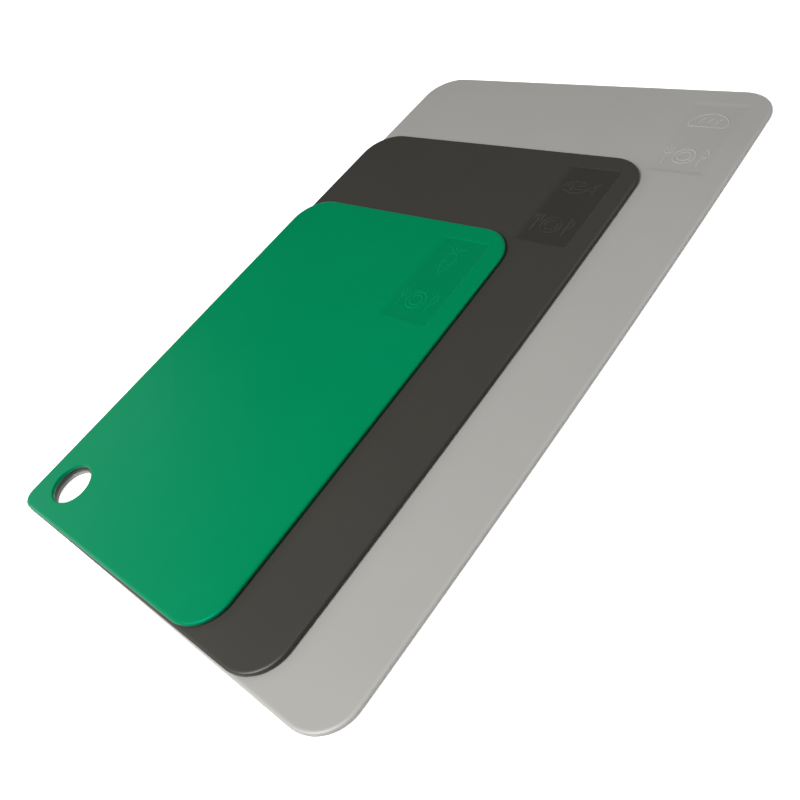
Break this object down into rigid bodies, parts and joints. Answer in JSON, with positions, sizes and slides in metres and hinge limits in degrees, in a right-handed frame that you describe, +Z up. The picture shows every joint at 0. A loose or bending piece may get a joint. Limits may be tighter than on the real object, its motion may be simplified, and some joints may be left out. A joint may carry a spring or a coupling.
{
  "type": "flexible cutting mat set",
  "caption": "Nested flexible cutting mats with rounded rims, a hanging hole near one corner and a recessed panel of raised food drawings near the corner across from it.",
  "frame": {"origin": "centre of the stack's footprint, on the underside of the large mat", "axes": "+Z up out of the stack, +Y along the large mat's long sides away from the hanging hole, +X along its short sides away from the hole"},
  "size_m": [0.233, 0.3802, 0.0072],
  "materials": {
    "light_grey_sheet": "satin, fine moulded grain",
    "dark_grey_sheet": "satin, fine moulded grain",
    "green_sheet": "satin, fine moulded grain"
  },
  "bodies": {
    "large_mat": {"large_mat": "light_grey_sheet"},
    "medium_mat": {"medium_mat": "dark_grey_sheet"},
    "small_mat": {"small_mat": "green_sheet"}
  },
  "joints": [
    {"name": "medium_lift", "type": "slide", "parent": "large_mat", "child": "medium_mat", "axis": [0, 0, 1], "range_m": [0, 0.12]},
    {"name": "small_lift", "type": "slide", "parent": "medium_mat", "child": "small_mat", "axis": [0, 0, 1], "range_m": [0, 0.12]}
  ]
}
